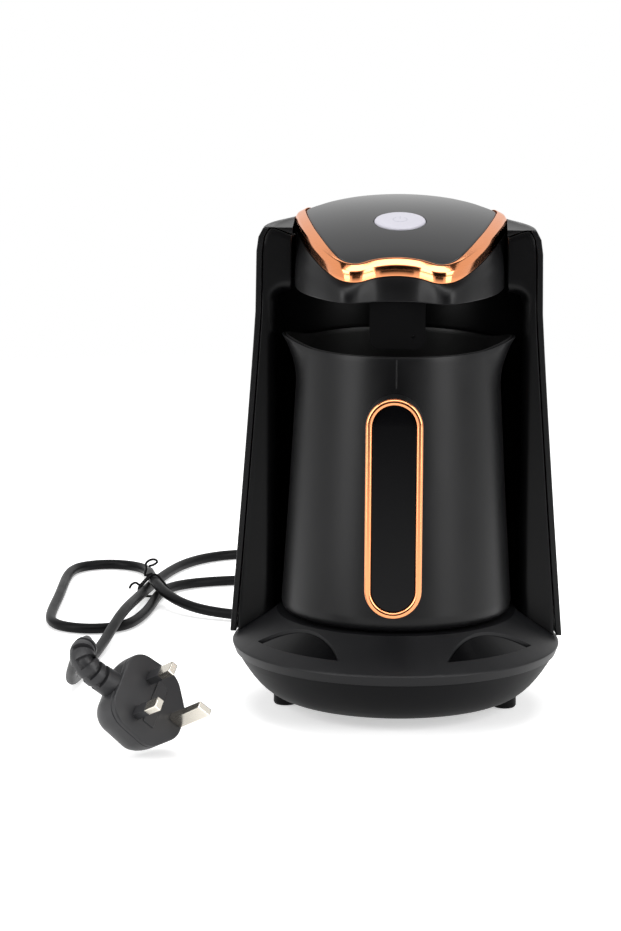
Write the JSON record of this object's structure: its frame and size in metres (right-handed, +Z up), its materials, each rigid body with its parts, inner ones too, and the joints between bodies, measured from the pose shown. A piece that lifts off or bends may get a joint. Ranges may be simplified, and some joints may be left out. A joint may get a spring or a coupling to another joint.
{
  "type": "electric turkish coffee maker",
  "caption": "Table-top electric coffee maker: a heated spouted pot with a bar handle slides into a cavity under a head with a start button; lead and plug attached.",
  "frame": {"origin": "middle of the machine's box on the table, with the lead left out", "axes": "+Z up; -Y towards the user, where the handle points; +X to the user's right"},
  "size_m": [0.2878, 0.4859, 0.2589],
  "materials": {
    "matte_black": "fine satin",
    "gloss_black": "polished",
    "copper": "copper-coloured, polished",
    "button_white": "satin",
    "lead_black": "matt",
    "plug_black": "satin",
    "steel": "brushed",
    "aluminium": "machined",
    "pin_brass": "nickel-plated",
    "board_green": "satin",
    "inner_grey": "satin",
    "inner_black": "satin",
    "inner_blue": "satin",
    "coil_yellow": "satin",
    "switch_red": "gloss",
    "led_white": "gloss",
    "wire_red": "matt"
  },
  "bodies": {
    "machine": {"base_tub": "matte_black", "base_deck": "matte_black", "deck_inlay_left": "gloss_black", "deck_inlay_right": "gloss_black", "feet": "lead_black", "base_screws": "steel", "side_panel_left": "matte_black", "side_panel_right": "matte_black", "rear_cover": "matte_black", "front_shell": "matte_black", "shoulder_cap": "matte_black", "head_shell": "matte_black", "head_base": "matte_black", "head_trim": "copper", "lid_panel": "gloss_black", "button_guide": "inner_grey", "switch_body": "inner_black", "control_board": "board_green", "board_screws": "steel", "button_leds": "led_white", "buzzer": "inner_black", "sensor_housing": "matte_black", "foam_sensor": "inner_black", "power_board": "board_green", "power_screws": "steel", "relay": "inner_blue", "transformer": "coil_yellow", "capacitor": "inner_black", "mains_fuse": "inner_grey", "terminal_block": "inner_grey", "pot_socket": "inner_black", "socket_contacts": "pin_brass", "wiring": "wire_red", "cord_gland": "lead_black", "mains_cord": "lead_black", "cord_tie": "lead_black", "plug_body": "plug_black", "plug_pins": "pin_brass", "plug_sleeves": "plug_black", "fuse_cover": "plug_black"},
    "pot": {"pot_body": "matte_black", "pot_liner": "steel", "pot_base_cover": "matte_black", "heater_plate": "aluminium", "heating_element": "steel", "thermostat": "aluminium", "thermal_cutout": "inner_grey", "pot_plug": "inner_black", "pot_pins": "pin_brass", "handle_bar": "matte_black", "handle_ring": "copper", "handle_inlay": "gloss_black", "handle_screws": "steel", "pot_base_screws": "steel"},
    "button": {"button_cap": "button_white"},
    "plunger": {"switch_plunger": "switch_red"}
  },
  "joints": [
    {"name": "pot_slide", "type": "slide", "parent": "machine", "child": "pot", "axis": [0, -1, 0], "range_m": [0, 0.155]},
    {"name": "button_press", "type": "slide", "parent": "machine", "child": "button", "axis": [0, 0.2, -0.9798], "range_m": [0, 0.0008], "stiffness_N_per_m": 600, "springref_m": -0.0008},
    {"name": "plunger_press", "type": "slide", "parent": "machine", "child": "plunger", "axis": [0, 0.2, -0.9798], "range_m": [0, 0.0008]}
  ],
  "couplings": [
    {"joint": "plunger_press", "follows": "button_press", "ratio": 1}
  ]
}
